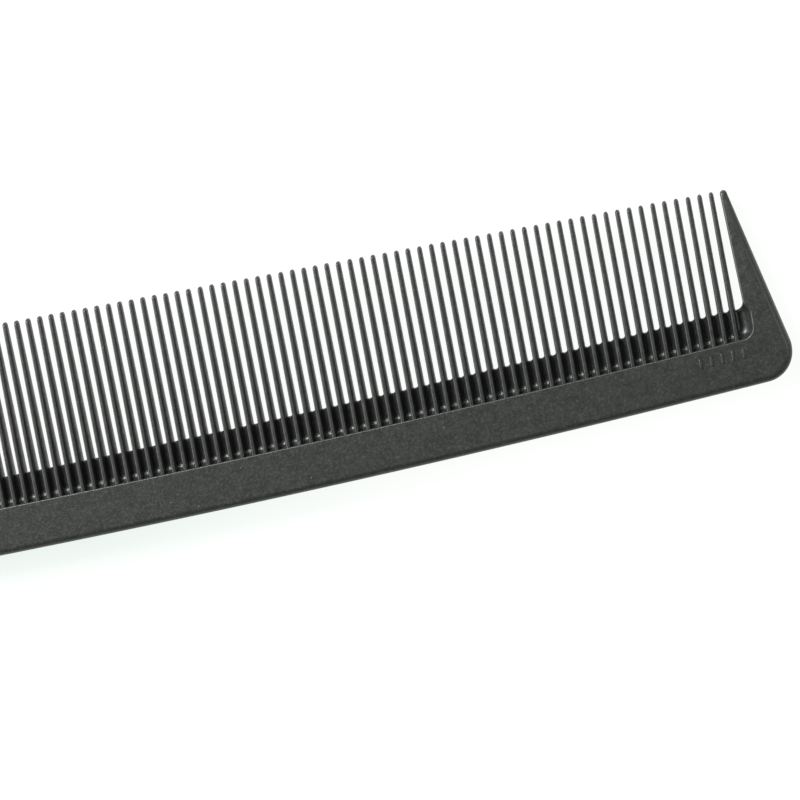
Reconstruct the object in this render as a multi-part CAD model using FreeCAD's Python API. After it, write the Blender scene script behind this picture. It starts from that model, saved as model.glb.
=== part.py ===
import FreeCAD, Part
import math
import os

from FreeCAD import Vector

os.makedirs("parts", exist_ok=True)

# Salon tail comb: one plastic moulding (spine, root webs, teeth, two guards and the
# neck of the tail) around the grooved shank of a steel tail pin.  Millimetres.
# The comb is modelled in a working frame: x = 0 on the first tooth, counted from the
# tail, with +X towards the toe; y = 0 on the line of the tooth tips, which point to
# +Y; z = 0 on the parting plane at mid-thickness.  At the end every piece moves so
# that the origin is the bottom centre of the whole comb.

# Row of teeth
tooth_count = 74
tooth_pitch = 1.4
tooth_root_width = 0.82
tooth_tip_width = 0.54
ridge_root_width = 0.40
ridge_tip_width = 0.38
tooth_tip_rounding = 0.40

# Blade outline
heel_blade_width = 27.6
toe_blade_width = 23.4
back_radius = 1795.0
spine_height = 5.7
web_height = 3.4

# Thickness
spine_thickness = 4.0
tip_thickness = 1.44
web_thickness = 0.9
edge_rounding = 0.85

# Guards at the two ends of the row
guard_gap_root = 1.47
guard_gap_tip = 1.04
guard_tip_width = 0.75
guard_tip_radius = 0.53
toe_lean = 13.0
toe_corner_radius = 3.65
heel_lean = 14.0
heel_sweep_radius = 5.0

# Neck and tail pin
neck_length = 20.0
neck_root_height = 8.5
neck_end_diameter = 4.0
neck_end_rounding = 0.4
neck_section_count = 7
pin_diameter = 2.2
pin_shank_length = 17.5
pin_straight_length = 24.0
pin_exposed_length = 84.0
pin_point_diameter = 1.3
key_groove_count = 3
key_groove_width = 1.2
key_groove_depth = 0.25
key_groove_pitch = 3.6

# Plain raised bars near the toe end of the spine, on the upper face only
mark_count = 5
mark_pitch = 1.3
mark_length = 1.2
mark_width = 0.35
mark_height = 0.1
mark_before_last_tooth = 4.7
mark_above_back = 4.1

# Spare length of cutting and trimming shapes
clear = 1.0

row_length = (tooth_count - 1) * tooth_pitch
half_spine = spine_thickness / 2.0
half_tip = tip_thickness / 2.0


# ---- the back edge and the lines parallel to it ----

def back_circle_centre():
    """Centre of the big circle through the back edge below the first and last tooth."""
    start = Vector(0, -heel_blade_width, 0)
    end = Vector(row_length, -toe_blade_width, 0)
    chord = end - start
    rise = math.sqrt(back_radius ** 2 - (chord.Length / 2.0) ** 2)
    return (start + end) * 0.5 + Vector(-chord.y, chord.x, 0).normalize() * rise


back_centre = back_circle_centre()


def back_y(x, inset=0.0):
    """Y of the back edge at x, or of the line that lies inset from it."""
    radius = back_radius - inset
    return back_centre.y - math.sqrt(radius ** 2 - (x - back_centre.x) ** 2)


def shoulder_y(x):
    return back_y(x, spine_height)


def web_top_y(x):
    return back_y(x, spine_height + web_height)


# ---- small shape helpers ----

def line(start, end):
    return Part.LineSegment(start, end).toShape()


def arc(start, middle, end):
    return Part.Arc(start, middle, end).toShape()


def back_arc(x_start, x_end, inset=0.0):
    """Edge along the back, or parallel to it, from one x to another."""
    places = (x_start, (x_start + x_end) / 2.0, x_end)
    return arc(*[Vector(x, back_y(x, inset), 0) for x in places])


def filled(edges):
    return Part.Face(Part.Wire(Part.__sortEdges__(edges)))


def plate(edges, thickness):
    """Plan outline with half the thickness on each side of the parting plane."""
    solid = filled(edges).extrude(Vector(0, 0, thickness))
    solid.translate(Vector(0, 0, -thickness / 2.0))
    return solid


def band(x_start, x_end, inset_low, inset_high, thickness):
    """Strip between two lines parallel to the back, cut square at both ends."""
    edges = [back_arc(x_start, x_end, inset_low), back_arc(x_start, x_end, inset_high)]
    for x in (x_start, x_end):
        edges.append(line(Vector(x, back_y(x, inset_low), 0), Vector(x, back_y(x, inset_high), 0)))
    return plate(edges, thickness)


def face_rim(solid, wanted):
    """Edges of the upper and lower faces whose middle point is wanted."""
    found = []
    for edge in solid.Edges:
        middle = edge.valueAt((edge.FirstParameter + edge.LastParameter) / 2.0)
        heights = [vertex.Z for vertex in edge.Vertexes] + [middle.z]
        if all(abs(abs(z) - half_spine) < 1e-6 for z in heights) and wanted(middle):
            found.append(edge)
    return found


def on_back(point):
    return abs(point.y - back_y(point.x)) < 0.01


# ---- spine ----

def make_marks():
    """Short raised bars in a row that follows the back edge, as a plain moulded mark."""
    bars = []
    for index in range(mark_count):
        x = row_length - mark_before_last_tooth + index * mark_pitch
        y = back_y(x) + mark_above_back
        corner = Vector(x - mark_width / 2.0, y - mark_length / 2.0, half_spine - mark_height)
        bars.append(Part.makeBox(mark_width, mark_length, 2.0 * mark_height, corner))
    return bars


def make_spine():
    bar = band(-guard_gap_root, row_length + guard_gap_root, 0.0, spine_height, spine_thickness)
    bar = bar.makeFillet(edge_rounding, face_rim(bar, on_back))
    return bar.fuse(make_marks())


# ---- teeth and the web between their roots ----

def tooth_section(x, y, half_width, half_ridge, half_height):
    """Six-sided section: widest on the parting plane, with a narrow flat ridge on
    each face, so that both flanks have draft."""
    corners = [(half_width, 0), (half_ridge, half_height), (-half_ridge, half_height),
               (-half_width, 0), (-half_ridge, -half_height), (half_ridge, -half_height)]
    points = [Vector(x + dx, y, dz) for dx, dz in corners]
    return Part.makePolygon(points + points[:1])


def make_tooth(index, below_shoulder):
    """Full thickness from the spine to the web top, then a straight taper to a
    rounded tip."""
    x = index * tooth_pitch
    y_root = shoulder_y(x)
    y_web = web_top_y(x)
    y_round = -tooth_tip_rounding

    def section(y, shrink):
        along = min(1.0, (y - y_root) / (y_round - y_root))
        taper = min(1.0, max(0.0, (y - y_web) / (y_round - y_web)))
        width = tooth_root_width + (tooth_tip_width - tooth_root_width) * along
        ridge = ridge_root_width + (ridge_tip_width - ridge_root_width) * along
        half_height = half_spine + (half_tip - half_spine) * taper
        return tooth_section(x, y, width / 2.0 * shrink, ridge / 2.0 * shrink, half_height * shrink)

    sections = [section(y, 1.0) for y in (y_root - clear, y_web, y_round)]
    last_angle = math.radians(72)
    for step in (1, 2, 3):
        angle = last_angle * step / 3.0
        y = y_round + tooth_tip_rounding * math.sin(angle) / math.sin(last_angle)
        sections.append(section(y, math.cos(angle)))
    return Part.makeLoft(sections, True, True).cut(below_shoulder)


def make_teeth():
    below_shoulder = band(-guard_gap_root - clear, row_length + guard_gap_root + clear,
                          -2.0 * clear, spine_height, 2.0 * spine_thickness)
    return Part.makeCompound([make_tooth(index, below_shoulder) for index in range(tooth_count)])


def make_root_web(teeth):
    """Thin web at mid-thickness between the roots, one piece in each gap."""
    strip = band(-guard_gap_root, row_length + guard_gap_root, spine_height,
                 spine_height + web_height, web_thickness)
    return strip.cut(teeth)


# ---- guards ----

def guard_side_profile(x_low, x_high):
    """Side profile of a guard: full thickness up to the web top, then a long curve
    that leaves the face smoothly and ends at the thin tip."""
    y_break = web_top_y((x_low + x_high) / 2.0)
    y_low = -heel_blade_width - clear
    drop = half_spine - half_tip
    radius = (y_break ** 2 + drop ** 2) / (2.0 * drop)
    y_mid = y_break / 2.0
    z_mid = half_spine - radius + math.sqrt(radius ** 2 - (y_mid - y_break) ** 2)
    upper = [Vector(x_low, y_low, half_spine), Vector(x_low, y_break, half_spine),
             Vector(x_low, y_mid, z_mid), Vector(x_low, 0, half_tip)]
    lower = [Vector(p.x, p.y, -p.z) for p in upper]
    edges = [line(upper[0], upper[1]), arc(*upper[1:]), line(upper[3], lower[3]),
             arc(*lower[1:]), line(lower[1], lower[0]), line(lower[0], upper[0])]
    return filled(edges).extrude(Vector(x_high - x_low, 0, 0))


def guard_envelope(x_tip, x_low, x_high):
    """Space that trims a guard: a round tip in plan, and the side profile."""
    y_low = -heel_blade_width - clear
    y_round = -guard_tip_radius
    left = Vector(x_tip - guard_tip_radius, y_round, 0)
    right = Vector(x_tip + guard_tip_radius, y_round, 0)
    outline = [right, Vector(x_high, y_round, 0), Vector(x_high, y_low, 0),
               Vector(x_low, y_low, 0), Vector(x_low, y_round, 0), left]
    edges = [arc(left, Vector(x_tip, 0, 0), right)]
    edges += [line(a, b) for a, b in zip(outline, outline[1:])]
    return plate(edges, spine_thickness + clear).common(guard_side_profile(x_low, x_high))


def toe_corner():
    """The toe corner's round: its centre, where it meets the outer edge, and the
    outward direction of that edge."""
    lean = math.radians(toe_lean)
    outward = Vector(math.cos(lean), math.sin(lean), 0)
    along = Vector(math.sin(lean), -math.cos(lean), 0)
    x_tip = row_length + guard_gap_tip + guard_tip_width
    start = Vector(x_tip, 0, 0) - outward * toe_corner_radius
    # The centre is where this line meets a circle that lies inside the back edge.
    reach = back_radius - toe_corner_radius
    offset = start - back_centre
    b = offset.dot(along)
    c = offset.dot(offset) - reach ** 2
    middle = start + along * (-b + math.sqrt(b ** 2 - c))
    return middle, middle + outward * toe_corner_radius, outward


def make_toe_guard():
    x_root = row_length + guard_gap_root
    x_inner = row_length + guard_gap_tip
    x_outer = x_inner + guard_tip_width
    lean = math.tan(math.radians(toe_lean))
    middle, on_edge, outward = toe_corner()
    to_back = (middle - back_centre).normalize()
    meets_back = middle + to_back * toe_corner_radius
    on_round = middle + (outward + to_back).normalize() * toe_corner_radius
    base = Vector(x_root, back_y(x_root), 0)
    root = Vector(x_root, web_top_y(x_root), 0)
    inner_top = Vector(x_inner, clear, 0)
    outer_top = Vector(x_outer - clear * lean, clear, 0)
    edges = [back_arc(x_root, meets_back.x), arc(meets_back, on_round, on_edge),
             line(on_edge, outer_top), line(outer_top, inner_top),
             line(inner_top, root), line(root, base)]
    solid = plate(edges, spine_thickness)

    def on_rim(point):
        return on_back(point) or (point.x > middle.x and point.y < 0)

    solid = solid.makeFillet(edge_rounding, face_rim(solid, on_rim))
    x_tip = (x_inner + x_outer) / 2.0
    x_end = middle.x + toe_corner_radius
    return solid.common(guard_envelope(x_tip, x_root - clear, x_end + clear))


def heel_sweep():
    """Centre of the sweep from the heel guard's outer edge into the neck, and the
    sweep's lowest point.  The heel guard ends and the neck begins at that x."""
    lean = math.radians(heel_lean)
    x_tip = -guard_gap_tip - guard_tip_width
    y_neck = -heel_blade_width + neck_root_height
    y = y_neck + heel_sweep_radius
    x = x_tip + y * math.tan(lean) - heel_sweep_radius / math.cos(lean)
    return Vector(x, y, 0), Vector(x, y_neck, 0)


def make_heel_guard():
    x_root = -guard_gap_root
    x_inner = -guard_gap_tip
    x_outer = x_inner - guard_tip_width
    lean = math.radians(heel_lean)
    middle, meets_neck = heel_sweep()
    on_edge = middle + Vector(math.cos(lean), -math.sin(lean), 0) * heel_sweep_radius
    half_way = -(lean + math.pi / 2.0) / 2.0
    on_sweep = middle + Vector(math.cos(half_way), math.sin(half_way), 0) * heel_sweep_radius
    neck_base = Vector(middle.x, back_y(middle.x), 0)
    base = Vector(x_root, back_y(x_root), 0)
    root = Vector(x_root, web_top_y(x_root), 0)
    inner_top = Vector(x_inner, clear, 0)
    outer_top = Vector(x_outer + clear * math.tan(lean), clear, 0)
    edges = [back_arc(middle.x, x_root), line(neck_base, meets_neck),
             arc(meets_neck, on_sweep, on_edge), line(on_edge, outer_top),
             line(outer_top, inner_top), line(inner_top, root), line(root, base)]
    solid = plate(edges, spine_thickness)

    def on_rim(point):
        return on_back(point) or (middle.x < point.x < x_outer and meets_neck.y < point.y < 0)

    solid = solid.makeFillet(edge_rounding, face_rim(solid, on_rim))
    x_tip = (x_inner + x_outer) / 2.0
    return solid.common(guard_envelope(x_tip, middle.x - clear, x_root + clear))


# ---- neck and tail pin ----

def tail_axis_y():
    """The tail leaves the middle of the plane where the heel guard meets the neck."""
    meets_neck = heel_sweep()[1]
    return (back_y(meets_neck.x) + meets_neck.y) / 2.0


def neck_end_x():
    return heel_sweep()[1].x - neck_length


def rounded_section(x, y, height, thickness, radius):
    """Rounded rectangle across the tail, as four corner arcs and four sides."""
    dy = height / 2.0
    dz = thickness / 2.0
    bend = radius * (1.0 - math.sqrt(0.5))
    corners = []
    for sy, sz in ((1, 1), (-1, 1), (-1, -1), (1, -1)):
        side = Vector(x, y + sy * dy, sz * (dz - radius))
        middle = Vector(x, y + sy * (dy - bend), sz * (dz - bend))
        cap = Vector(x, y + sy * (dy - radius), sz * dz)
        corners.append((side, middle, cap) if sy * sz > 0 else (cap, middle, side))
    edges = []
    for number, corner in enumerate(corners):
        edges.append(arc(*corner))
        edges.append(line(corner[2], corners[(number + 1) % 4][0]))
    return Part.Wire(edges)


def make_neck(pin):
    """Neck that narrows smoothly from the blade to a round end, moulded round the pin."""
    meets_neck = heel_sweep()[1]
    root_height = meets_neck.y - back_y(meets_neck.x)
    side_flat = 0.1
    end_radius = neck_end_diameter / 2.0 - side_flat
    sections = []
    for step in range(neck_section_count):
        share = step / (neck_section_count - 1.0)
        blend = (1.0 - math.cos(math.pi * share)) / 2.0
        height = root_height + (neck_end_diameter - root_height) * blend
        thickness = spine_thickness + (neck_end_diameter - spine_thickness) * blend
        radius = edge_rounding + (end_radius - edge_rounding) * share
        x = meets_neck.x - neck_length * share
        sections.append(rounded_section(x, tail_axis_y(), height, thickness, radius))
    neck = Part.makeLoft(sections, True, False)
    x_end = neck_end_x()
    rim = [edge for edge in neck.Edges if all(abs(v.X - x_end) < 1e-6 for v in edge.Vertexes)]
    return neck.makeFillet(neck_end_rounding, rim).cut(pin)


def make_pin():
    """Steel pin: a grooved shank held in the neck, then a straight length and a long
    taper to a round point."""
    x_mouth = neck_end_x()
    x_inner = x_mouth + pin_shank_length
    x_taper = x_mouth - pin_straight_length
    x_point = x_mouth - pin_exposed_length
    radius = pin_diameter / 2.0
    floor = radius - key_groove_depth
    point_radius = pin_point_diameter / 2.0
    profile = [(x_inner, 0.0), (x_inner, radius)]
    for number in range(key_groove_count):
        x = x_inner - key_groove_pitch * (number + 0.5)
        x_far = x - key_groove_width
        profile += [(x, radius), (x - key_groove_depth, floor),
                    (x_far + key_groove_depth, floor), (x_far, radius)]
    profile += [(x_taper, radius), (x_point + point_radius, point_radius)]
    points = [Vector(x, r, 0) for x, r in profile]
    edges = [line(a, b) for a, b in zip(points, points[1:])]
    bend = point_radius * math.sqrt(0.5)
    end = Vector(x_point, 0, 0)
    edges.append(arc(points[-1], Vector(x_point + point_radius - bend, bend, 0), end))
    edges.append(line(end, points[0]))
    pin = Part.Face(Part.Wire(edges)).revolve(Vector(0, 0, 0), Vector(1, 0, 0), 360)
    pin.translate(Vector(0, tail_axis_y(), 0))
    return pin


# ---- the whole comb ----

def bottom_centre():
    """Middle of the comb's length and width, on its lower face, in the working frame."""
    toe_end = toe_corner()[0].x + toe_corner_radius
    tail_end = neck_end_x() - pin_exposed_length
    heel_x = heel_sweep()[1].x
    lowest_x = min(max(back_centre.x, heel_x), row_length)
    return Vector((toe_end + tail_end) / 2.0, back_y(lowest_x) / 2.0, -half_spine)


teeth = make_teeth()
pin = make_pin()
pieces = {
    "spine": make_spine(),
    "root_web": make_root_web(teeth),
    "teeth": teeth,
    "toe_guard": make_toe_guard(),
    "heel_guard": make_heel_guard(),
    "tail_neck": make_neck(pin),
    "tail_pin": pin,
}
origin = bottom_centre()

for name, shape in pieces.items():
    shape.translate(origin * -1.0)
    shape.exportStep("parts/" + name + ".step")
    print("%-11s %3d solids  valid %s  %8.2f mm3" % (
        name, len(shape.Solids), shape.isValid(), shape.Volume))
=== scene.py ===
import math
import random

import bmesh
import bpy
from mathutils import Matrix, Vector


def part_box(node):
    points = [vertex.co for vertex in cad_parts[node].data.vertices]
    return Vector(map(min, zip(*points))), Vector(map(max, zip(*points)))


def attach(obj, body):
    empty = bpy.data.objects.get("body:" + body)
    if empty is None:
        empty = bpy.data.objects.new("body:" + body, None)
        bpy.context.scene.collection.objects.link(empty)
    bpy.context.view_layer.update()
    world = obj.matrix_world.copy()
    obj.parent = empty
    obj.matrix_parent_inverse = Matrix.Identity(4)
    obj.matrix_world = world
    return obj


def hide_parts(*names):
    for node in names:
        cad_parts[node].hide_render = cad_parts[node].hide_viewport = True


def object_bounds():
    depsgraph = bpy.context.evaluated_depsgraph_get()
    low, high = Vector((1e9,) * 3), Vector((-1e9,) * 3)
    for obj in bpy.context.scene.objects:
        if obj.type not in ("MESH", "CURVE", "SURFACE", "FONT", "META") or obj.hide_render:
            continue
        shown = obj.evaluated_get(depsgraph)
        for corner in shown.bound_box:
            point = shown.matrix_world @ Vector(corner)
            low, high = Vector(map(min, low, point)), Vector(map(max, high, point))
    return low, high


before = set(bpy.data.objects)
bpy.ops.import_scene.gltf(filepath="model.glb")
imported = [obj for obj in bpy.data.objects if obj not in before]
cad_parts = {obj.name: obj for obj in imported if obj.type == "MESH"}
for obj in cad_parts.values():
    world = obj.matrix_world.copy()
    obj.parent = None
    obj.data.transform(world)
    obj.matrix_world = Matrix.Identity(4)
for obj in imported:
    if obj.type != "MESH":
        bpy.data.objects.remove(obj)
cad_low, cad_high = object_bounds()
random.seed(7)

MM = 0.001
SHARP = math.radians(38)        # an edge between faces that meet at more than this stays crisp

# ---------------------------------------------------------------------------
# Sizes, in millimetres, in the working frame of the blade: x = 0 on the tooth
# nearest the tail, y = 0 on the line of the tooth tips, z = 0 at mid-thickness.
# ---------------------------------------------------------------------------

teeth_low, teeth_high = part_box("teeth")
pin_low, pin_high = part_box("tail_pin")
neck_low, neck_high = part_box("tail_neck")
web_low, web_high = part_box("root_web")

TOOTH_COUNT = 74
TOOTH_CAD_WIDTH = 0.82          # at the root, which sets where the row starts and ends
TIP_HALF = 0.72                 # half thickness of the teeth and guards at their tips
ROOT_DEPTH = 0.3                # how far teeth and webs reach into the spine

BACK_RADIUS = 1795.0
HEEL_BLADE_WIDTH = 27.6
TOE_BLADE_WIDTH = 23.4
SPINE_HEIGHT = 5.7
WEB_HEIGHT = 3.4
EDGE_ROUNDING = 0.85
SHOULDER_ROUNDING = 0.13

row_first = teeth_low.x / MM + TOOTH_CAD_WIDTH / 2.0
row_last = teeth_high.x / MM - TOOTH_CAD_WIDTH / 2.0
ROW = row_last - row_first
PITCH = ROW / (TOOTH_COUNT - 1)
HALF = (teeth_high.z - teeth_low.z) / MM / 2.0
WEB_HALF = (web_high.z - web_low.z) / MM / 2.0
ORIGIN = Vector((row_first, teeth_high.y / MM, (teeth_low.z + teeth_high.z) / MM / 2.0))


def place(x, y, z):
    """Row-frame position in metres of a point in the blade's working frame."""
    return ((ORIGIN.x + x) * MM, (ORIGIN.y + y) * MM, (ORIGIN.z + z) * MM)


def back_circle():
    start = Vector((0.0, -HEEL_BLADE_WIDTH))
    end = Vector((ROW, -TOE_BLADE_WIDTH))
    chord = end - start
    rise = math.sqrt(BACK_RADIUS ** 2 - (chord.length / 2.0) ** 2)
    return (start + end) / 2.0 + Vector((-chord.y, chord.x)).normalized() * rise


BACK_CENTRE = back_circle()


def back_y(x, inset=0.0):
    """Y of the back edge at x, or of the line that lies inset from it."""
    return BACK_CENTRE.y - math.sqrt((BACK_RADIUS - inset) ** 2 - (x - BACK_CENTRE.x) ** 2)


def shoulder_y(x):
    return back_y(x, SPINE_HEIGHT)


def web_top_y(x):
    return back_y(x, SPINE_HEIGHT + WEB_HEIGHT)


def mix(a, b, t):
    return a + (b - a) * t


def smooth(t):
    t = min(1.0, max(0.0, t))
    return t * t * (3.0 - 2.0 * t)


def edge_wear(vert):
    """1 on a rounded edge between a face and a wall, 0 on flat faces, walls and corners."""
    for edge in vert.link_edges:
        if edge.calc_face_angle(0.0) > SHARP:
            return 0.0
    up = abs(vert.normal.z)
    return smooth((up - 0.1) / 0.4) * smooth((0.97 - up) / 0.25)


def make_object(name, points, faces):
    """Mesh object from blade-frame points and faces, smooth shaded, outside facing out."""
    mesh = bpy.data.meshes.new(name)
    mesh.from_pydata([place(*p) for p in points], [], faces)
    bm = bmesh.new()
    bm.from_mesh(mesh)
    bmesh.ops.remove_doubles(bm, verts=bm.verts, dist=1e-7)
    bmesh.ops.dissolve_degenerate(bm, edges=bm.edges, dist=1e-8)
    bmesh.ops.recalc_face_normals(bm, faces=bm.faces)
    for face in bm.faces:
        face.smooth = True
    bm.normal_update()
    wear = [edge_wear(vert) for vert in bm.verts]
    bm.to_mesh(mesh)
    bm.free()
    mesh.attributes.new("wear", "FLOAT", "POINT").data.foreach_set("value", wear)
    mesh.set_sharp_from_angle(angle=SHARP)
    piece = bpy.data.objects.new(name, mesh)
    bpy.context.scene.collection.objects.link(piece)
    return piece


def skin(rings):
    """Points and faces of a tube through closed rings of equal length, closed at both
    ends by the last two faces."""
    count = len(rings[0])
    points = [p for ring in rings for p in ring]
    faces = []
    for r in range(len(rings) - 1):
        for k in range(count):
            a = r * count + k
            b = r * count + (k + 1) % count
            faces.append((a, b, b + count, a + count))
    faces.append(tuple(range(count))[::-1])
    last = (len(rings) - 1) * count
    faces.append(tuple(range(last, last + count)))
    return points, faces


def merge(parts):
    """Joins several (points, faces) into one."""
    points, faces = [], []
    for part_points, part_faces in parts:
        start = len(points)
        points += part_points
        faces += [tuple(i + start for i in face) for face in part_faces]
    return points, faces


# ---------------------------------------------------------------------------
# Teeth
# ---------------------------------------------------------------------------

TOOTH_ROOT_WIDTH = 0.83
TOOTH_TIP_WIDTH = 0.56
RIDGE_ROOT_WIDTH = 0.38
RIDGE_TIP_WIDTH = 0.34
RIDGE_ROUNDING = 0.10
RIDGE_DROP = 0.12               # how far the ridges lie below the spine's faces
TAPER_START = 1.2               # below the web's upper edge
TAPER_POWER = 1.15
WIDTH_POWER = 0.85
FLANK_POWER = 2.2
MOULD_OFFSET = 0.045            # of a tooth's middle from its front ridge
BACK_OFFSET = 0.8               # how much more that is at the back ridge, as a share
TIP_ROUNDING = 0.42
TIP_BLUNTNESS = 0.75            # below 1 the tip keeps its thickness longer than its width
LEAN_SPREAD = 0.025
LENGTH_SPREAD = 0.05


def tooth_quarter(half_width, half_ridge, half_height):
    """A quarter of a tooth's section, from the parting plane to the edge of the ridge.
    The flank is nearly upright at first and leans in towards the ridge."""
    edge = min(RIDGE_ROUNDING, half_ridge * 0.6)
    high = half_height - edge

    def flank(z):
        return half_ridge + (half_width - half_ridge) * (1.0 - (z / half_height) ** FLANK_POWER)

    points = [(flank(high * step), high * step) for step in (0.0, 0.25, 0.45, 0.65, 0.82, 1.0)]
    start = flank(high)
    end = half_ridge - edge
    for step in (1, 2, 3, 4):
        angle = math.pi / 2.0 * step / 4.0
        points.append((end + (start - end) * math.cos(angle), high + edge * math.sin(angle)))
    return points


def tooth_ring(x, y, half_width, half_ridge, half_height):
    """Closed loop round a tooth, whose middle and back lie a little nearer the toe than
    its front ridge."""
    quarter = tooth_quarter(half_width, half_ridge, half_height)
    left_front = [(-px, pz) for px, pz in reversed(quarter)]
    left_back = [(-px, -pz) for px, pz in quarter[1:]]
    right_back = [(px, -pz) for px, pz in reversed(quarter[1:])]
    front = quarter + [(0.0, half_height)] + left_front
    back = left_back + [(0.0, -half_height)] + right_back
    ring = []
    for px, pz in front + back:
        depth = pz / half_height
        offset = MOULD_OFFSET * (1.0 - depth if depth > 0.0 else 1.0 - BACK_OFFSET * depth)
        ring.append((x + px + offset, y, pz))
    return ring


def tooth_rings(index):
    x = index * PITCH
    y_root = shoulder_y(x) - ROOT_DEPTH
    y_low = y_root + 0.45
    y_web = web_top_y(x)
    y_round = -TIP_ROUNDING
    # small moulding variation from tooth to tooth
    lean = random.uniform(-LEAN_SPREAD, LEAN_SPREAD)
    short = random.uniform(0.0, LENGTH_SPREAD)

    def ring(y, shrink=1.0, deep=1.0):
        along = min(1.0, (y - y_root) / (y_round - y_root))
        taper = min(1.0, max(0.0, (y - y_web + TAPER_START) / (y_round - y_web + TAPER_START)))
        width = mix(TOOTH_ROOT_WIDTH, TOOTH_TIP_WIDTH, along ** WIDTH_POWER)
        ridge = mix(RIDGE_ROOT_WIDTH, RIDGE_TIP_WIDTH, along)
        height = mix(HALF - RIDGE_DROP, TIP_HALF, taper ** TAPER_POWER)
        return tooth_ring(x + lean * along ** 2, y - short * along, width / 2.0 * shrink,
                          ridge / 2.0 * shrink, height * deep)

    rings = [ring(y_root), ring(y_low)]
    rings += [ring(mix(y_low, y_web, share)) for share in (0.35, 0.7, 1.0)]
    for share in (0.06, 0.14, 0.25, 0.4, 0.55, 0.7, 0.85, 1.0):
        rings.append(ring(mix(y_web, y_round, share)))
    steps = 6
    for step in range(1, steps + 1):
        angle = math.radians(86) * step / steps
        rings.append(ring(y_round + TIP_ROUNDING * math.sin(angle), math.cos(angle),
                          math.cos(angle) ** TIP_BLUNTNESS))
    return rings


def make_teeth():
    parts = [skin(tooth_rings(index)) for index in range(TOOTH_COUNT)]
    return make_object("tooth_row", *merge(parts))


# ---------------------------------------------------------------------------
# Root webs: the thin web in each gap, with ball-ended grooves in both faces
# ---------------------------------------------------------------------------

GROOVE_RADIUS = 0.75
END_RADIUS = 0.95               # of a groove's round end, along the groove
END_CENTRE = 0.91               # of that end, above the shoulder
END_WIDENING = 0.3
WIDENING_LENGTH = 0.4
WEB_LIP = 0.13                  # rounding of the web's upper edge
WEB_THICKENING = 0.10           # of each face, from the web's upper edge to the shoulder
WEB_SIDE_RISE = 0.20            # of the upper edge, beside the teeth
WEB_SIDE = 0.36                 # from a tooth's middle to where that rise is full
END_RISE_FROM = 0.55            # from an end tooth's middle to where its rise starts
END_RISE_WIDTH = 0.3
WEB_INSET = 0.06                # from a tooth's middle to where the web starts inside it
GROOVE_CEILING = HALF - 0.16
GROOVE_ROWS = (-ROOT_DEPTH, 0.02, 0.12, 0.2, 0.25, 0.29, 0.34, 0.4, 0.46, 0.52, 0.58, 0.66,
               0.74, 0.9, 1.2)

# Beyond each end tooth the groove widens into a recess with a rounded corner. Its side
# comes in again from NARROWS_FROM above the shoulder, over NARROWING.
RECESS_REACH = 2.06
RECESS_RADIUS = 1.3
RECESS_CEILING = HALF - 0.1
NARROWS_FROM = 2.9
NARROWING = 1.5
RECESS_TOP = 4.6                # above the shoulder, where a guard's inner edge turns straight
COVE_RADIUS = 1.15
GUARD_GAP_ROOT = 1.43
GUARD_GAP_TIP = 1.04
GUARD_TIP_WIDTH = 0.75
GAP_CORNER = 0.85


def hollow(distance, radius):
    """Rise of a concave rounding at a distance from its steep side. Past that side it
    goes on rising steeply."""
    if distance >= radius:
        return 0.0
    if distance <= 0.0:
        return radius - 3.0 * distance
    return radius - math.sqrt(radius ** 2 - (radius - distance) ** 2)


def web_floor(t):
    """Half thickness of the web at its thinnest, at t above the shoulder."""
    return WEB_HALF + WEB_THICKENING * (1.0 - smooth(t / WEB_HEIGHT))


def groove(across, t):
    """Rise of a round-ended groove's wall above its floor: across from the groove's
    middle line, t above the shoulder."""
    width = GROOVE_RADIUS + END_WIDENING * smooth((END_CENTRE - t) / WIDENING_LENGTH)
    distance = math.hypot(across / width, min(0.0, t - END_CENTRE) / END_RADIUS)
    return hollow((1.0 - distance) * GROOVE_RADIUS, GROOVE_RADIUS)


def web_height(u, t):
    """Half thickness of the moulding in a gap: u across the gap, t above the shoulder."""
    return min(web_floor(t) + groove(u - PITCH / 2.0, t), GROOVE_CEILING)


def close_web(x, front, y_edge):
    """Rounds the web's upper edge over and mirrors it to the back."""
    edge = front[-1][1]
    lip = min(WEB_LIP, edge)
    for step in (1, 2, 3):
        angle = math.pi / 2.0 * step / 3.0
        front.append((y_edge + WEB_LIP * math.sin(angle), edge - lip * (1.0 - math.cos(angle))))
    back = [(y, -z) for y, z in reversed(front)]
    return [(x, y, z) for y, z in front + back]


def web_ring(x, u, rise):
    """Closed loop in y and z at one place across a gap."""
    y_low = shoulder_y(x)
    length = WEB_HEIGHT + rise - WEB_LIP
    rows = list(GROOVE_ROWS)
    rows += [mix(rows[-1], length, share) for share in (0.33, 0.66, 1.0)]
    front = [(y_low + t, web_height(u, t)) for t in rows]
    return close_web(x, front, y_low + length)


def make_webs():
    parts = []
    columns = 18
    for index in range(TOOTH_COUNT - 1):
        rings = []
        for column in range(columns + 1):
            u = mix(WEB_INSET, PITCH - WEB_INSET, column / columns)
            x = index * PITCH + u
            across = abs(u - PITCH / 2.0) / (PITCH / 2.0 - WEB_SIDE)
            rings.append(web_ring(x, u, WEB_SIDE_RISE * min(1.0, across) ** 3))
        parts.append(skin(rings))
    return parts


def recess_side(t):
    """How far from the end tooth the recess would reach with a square corner."""
    return mix(RECESS_REACH, GUARD_GAP_ROOT, smooth((t - NARROWS_FROM) / NARROWING))


def recess_reach(t):
    """How far from the end tooth the recess reaches, at t above the shoulder."""
    reach = recess_side(t)
    if t < RECESS_RADIUS:
        reach -= RECESS_RADIUS - math.sqrt(RECESS_RADIUS ** 2 - (RECESS_RADIUS - max(t, 0.0)) ** 2)
    return reach


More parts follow.
